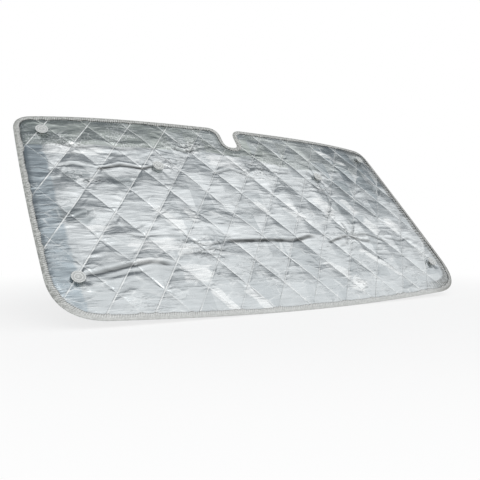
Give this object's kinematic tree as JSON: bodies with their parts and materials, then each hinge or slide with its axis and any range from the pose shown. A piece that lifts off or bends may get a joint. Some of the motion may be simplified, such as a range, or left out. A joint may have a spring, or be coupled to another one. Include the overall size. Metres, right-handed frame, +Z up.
{
  "type": "windscreen sunshade mat",
  "caption": "Quilted silver foil sunshade mat for a raked windscreen, bound round the edge with a mirror notch and held by suction cups.",
  "frame": {"origin": "middle of the flat face of the top left suction cup, where it touches the glass; left is as seen from outside the vehicle", "axes": "+X across the mat to the right as seen from outside, -Y towards the viewer outside, +Z up; the mat slopes up and back at 50.4 degrees above the horizontal"},
  "size_m": [1.5991, 0.5582, 0.6461],
  "materials": {
    "foil": "crinkled metallised film",
    "wadding": "matte fibre wadding",
    "lining": "matte woven cloth",
    "binding": "matte tape",
    "cup": "translucent soft plastic",
    "eyelet": "nickel plated"
  },
  "bodies": {
    "root": {"outer_foil": "foil", "wadding": "wadding", "inner_lining": "lining", "edge_binding": "binding", "eyelet_top_left": "eyelet", "eyelet_washer_top_left": "eyelet", "suction_cup_top_left": "cup", "eyelet_top_right": "eyelet", "eyelet_washer_top_right": "eyelet", "suction_cup_top_right": "cup", "eyelet_upper_left": "eyelet", "eyelet_washer_upper_left": "eyelet", "suction_cup_upper_left": "cup", "eyelet_upper_right": "eyelet", "eyelet_washer_upper_right": "eyelet", "suction_cup_upper_right": "cup", "eyelet_bottom_left": "eyelet", "eyelet_washer_bottom_left": "eyelet", "suction_cup_bottom_left": "cup", "eyelet_bottom_right": "eyelet", "eyelet_washer_bottom_right": "eyelet", "suction_cup_bottom_right": "cup"}
  },
  "joints": []
}
